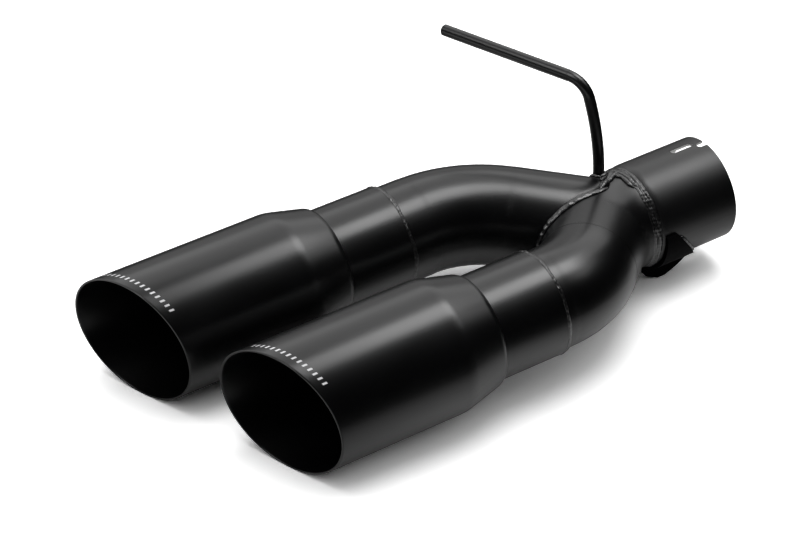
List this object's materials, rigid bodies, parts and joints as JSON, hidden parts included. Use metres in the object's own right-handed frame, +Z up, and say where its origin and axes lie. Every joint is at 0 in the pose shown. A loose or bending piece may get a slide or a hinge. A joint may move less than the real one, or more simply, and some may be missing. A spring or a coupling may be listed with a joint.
{
  "type": "exhaust tip",
  "caption": "Exhaust tip with side-by-side slant-cut outlets on a bent Y of tubing, a slotted slip-on inlet collar, a hanger rod and a low bracket, all in satin black coat",
  "frame": {"origin": "centre of the open end of the inlet bore", "axes": "+Y runs out of the inlet, towards the vehicle's exhaust pipe, so the outlets face -Y; +Z is up; the longer-reaching left tip is at -X and the right tip at +X"},
  "size_m": [0.2683, 0.4797, 0.171],
  "materials": {
    "tip_coat": "satin black coat",
    "sleeve_coat": "satin black coat",
    "pipe_coat": "satin black coat",
    "collar_coat": "satin black coat",
    "rod_coat": "satin black coat",
    "bracket_coat": "satin black coat",
    "weld_coat": "satin black coat over rippled weld metal"
  },
  "bodies": {
    "root": {"left_tip": "tip_coat", "right_tip": "tip_coat", "left_sleeve": "sleeve_coat", "right_sleeve": "sleeve_coat", "left_pipe": "pipe_coat", "right_pipe": "pipe_coat", "inlet_collar": "collar_coat", "hanger_rod": "rod_coat", "lower_bracket": "bracket_coat", "left_sleeve_weld": "weld_coat", "right_sleeve_weld": "weld_coat", "merge_weld": "weld_coat", "collar_weld": "weld_coat", "hanger_weld": "weld_coat", "bracket_weld": "weld_coat"}
  },
  "joints": []
}
